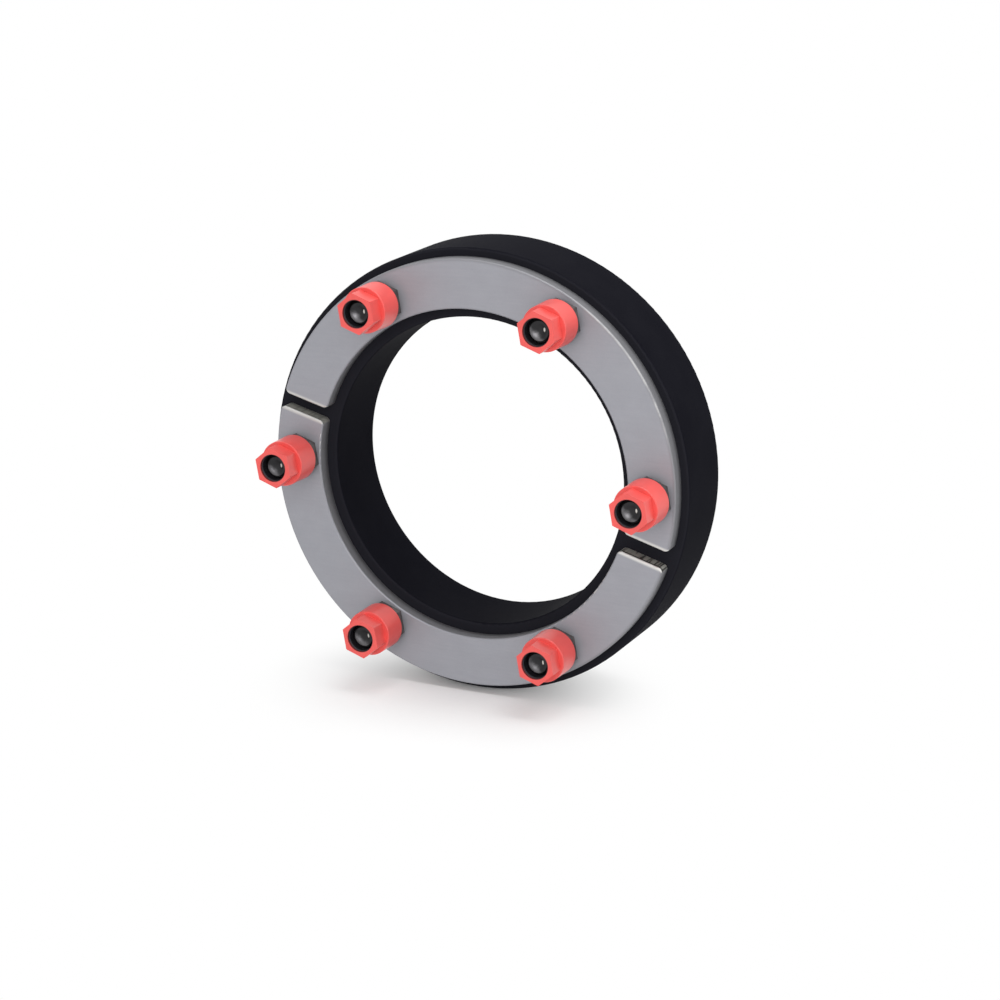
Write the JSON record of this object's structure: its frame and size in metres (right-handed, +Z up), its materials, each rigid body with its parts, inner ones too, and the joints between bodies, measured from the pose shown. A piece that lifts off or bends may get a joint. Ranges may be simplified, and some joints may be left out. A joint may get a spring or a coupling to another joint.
{
  "type": "pipe penetration seal",
  "caption": "Rubber ring between split steel pressure plates with bolts and shear-cap nuts, which swells to close the gap between a pipe and a round wall opening.",
  "frame": {"origin": "middle of the rubber ring, on the ring's axis", "axes": "+Y along the ring's axis towards the rear plates, the nuts face -Y, +Z up"},
  "size_m": [0.149, 0.0582, 0.149],
  "materials": {
    "ring_rubber": "matt",
    "plate_steel": "satin",
    "bolt_steel": "satin",
    "nut_steel": "dark",
    "cap_plastic": "semi-gloss"
  },
  "bodies": {
    "root": {"rubber_ring": "ring_rubber", "front_plate_upper": "plate_steel", "front_plate_lower": "plate_steel", "rear_plate_upper": "plate_steel", "rear_plate_lower": "plate_steel", "bolt_1": "bolt_steel", "bolt_2": "bolt_steel", "bolt_3": "bolt_steel", "bolt_4": "bolt_steel", "bolt_5": "bolt_steel", "bolt_6": "bolt_steel", "nut_1": "nut_steel", "nut_2": "nut_steel", "nut_3": "nut_steel", "nut_4": "nut_steel", "nut_5": "nut_steel", "nut_6": "nut_steel", "shear_cap_1": "cap_plastic", "shear_cap_2": "cap_plastic", "shear_cap_3": "cap_plastic", "shear_cap_4": "cap_plastic", "shear_cap_5": "cap_plastic", "shear_cap_6": "cap_plastic"}
  },
  "joints": []
}
